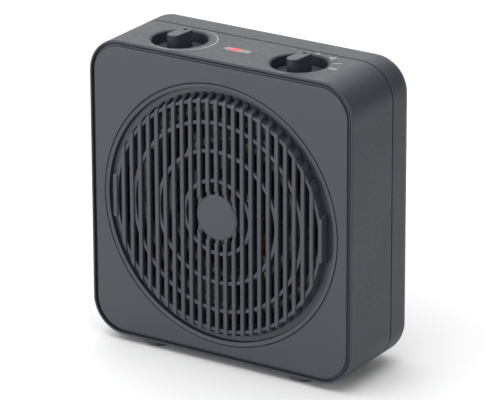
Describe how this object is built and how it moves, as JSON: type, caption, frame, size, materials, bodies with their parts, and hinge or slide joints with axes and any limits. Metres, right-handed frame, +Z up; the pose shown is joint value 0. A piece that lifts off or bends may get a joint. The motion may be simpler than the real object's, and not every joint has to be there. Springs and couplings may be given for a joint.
{
  "type": "fan heater",
  "caption": "Compact upright fan heater with a round barred outlet, thermostat and mode knobs and a pilot lamp on top, and a slotted intake at the back.",
  "frame": {"origin": "middle of the overall box in plan, at the height of the surface that the feet rest on", "axes": "+Z up, -Y the way the warm air leaves, +X to the right of somebody who looks at the outlet"},
  "size_m": [0.22, 0.0864, 0.2355],
  "materials": {
    "housing_plastic": "fine-textured moulded charcoal",
    "panel_plastic": "smooth satin charcoal",
    "grille_plastic": "satin charcoal, slightly glossy edges",
    "knob_plastic": "satin charcoal",
    "foot_rubber": "matt black",
    "screw_steel": "zinc plated",
    "lens_plastic": "frosted translucent",
    "lamp_glass": "neon lamp",
    "inner_plastic": "black phenolic",
    "shaft_steel": "ground steel",
    "thermostat_ceramic": "unglazed",
    "duct_steel": "zinc-plated sheet, dulled by heat",
    "mica_board": "layered mica sheet, browned by heat",
    "heating_wire": "nickel-chrome wire, slightly oxidised",
    "terminal_brass": "plain",
    "fuse_metal": "tinned",
    "fan_plastic": "moulded black",
    "rotor_steel": "turned laminations",
    "lamination_steel": "stacked silicon-steel sheet",
    "copper_winding": "enamelled copper wire",
    "bobbin_plastic": "natural nylon",
    "bearing_bronze": "sintered bronze",
    "bracket_zinc": "die cast",
    "block_plastic": "white nylon",
    "gland_rubber": "matt black",
    "wire_brown": "insulation",
    "wire_blue": "insulation",
    "wire_black": "insulation",
    "wire_red": "insulation"
  },
  "bodies": {
    "housing": {"front_shell": "housing_plastic", "front_panel": "panel_plastic", "front_grille": "grille_plastic", "rear_shell": "housing_plastic", "foot_front_left": "foot_rubber", "foot_front_right": "foot_rubber", "foot_rear_left": "foot_rubber", "foot_rear_right": "foot_rubber", "foot_screws": "screw_steel", "shell_screws": "screw_steel", "indicator_lens": "lens_plastic", "indicator_lamp": "lamp_glass", "lamp_holder": "inner_plastic", "thermostat_body": "thermostat_ceramic", "mode_switch_body": "inner_plastic", "control_screws": "screw_steel", "heater_duct": "duct_steel", "duct_screws": "screw_steel", "mica_board_upright": "mica_board", "mica_board_level": "mica_board", "heating_coil_outer": "heating_wire", "heating_coil_inner": "heating_wire", "element_terminals": "terminal_brass", "thermal_cutout": "inner_plastic", "thermal_fuse": "fuse_metal", "motor_stator": "lamination_steel", "motor_coil": "copper_winding", "motor_bobbin": "bobbin_plastic", "bearing_front": "bearing_bronze", "bearing_rear": "bearing_bronze", "motor_bracket_front": "bracket_zinc", "motor_bracket_rear": "bracket_zinc", "motor_bolts": "screw_steel", "motor_nuts": "screw_steel", "motor_mount": "duct_steel", "mount_screws": "screw_steel", "terminal_block": "block_plastic", "terminal_inserts": "terminal_brass", "cord_gland": "gland_rubber", "wire_live": "wire_brown", "wire_neutral": "wire_blue", "wire_link": "wire_black", "wire_heat": "wire_red", "wire_motor": "wire_black"},
    "fan": {"fan_impeller": "fan_plastic", "fan_clip": "screw_steel", "motor_shaft": "shaft_steel", "motor_rotor": "rotor_steel"},
    "thermostat": {"thermostat_knob": "knob_plastic", "thermostat_spindle": "shaft_steel"},
    "mode": {"mode_knob": "knob_plastic", "mode_spindle": "shaft_steel"}
  },
  "joints": [
    {"name": "fan_spin", "type": "hinge", "parent": "housing", "child": "fan", "pos_m": [0, 0, 0.114], "axis": [0, 1, 0], "continuous": true},
    {"name": "thermostat_turn", "type": "hinge", "parent": "housing", "child": "thermostat", "pos_m": [-0.05, -0.01225, 0.22], "axis": [0, 0, 1], "range_deg": [-165, 0]},
    {"name": "mode_turn", "type": "hinge", "parent": "housing", "child": "mode", "pos_m": [0.05, -0.01225, 0.22], "axis": [0, 0, 1], "range_deg": [-90, 0]}
  ]
}
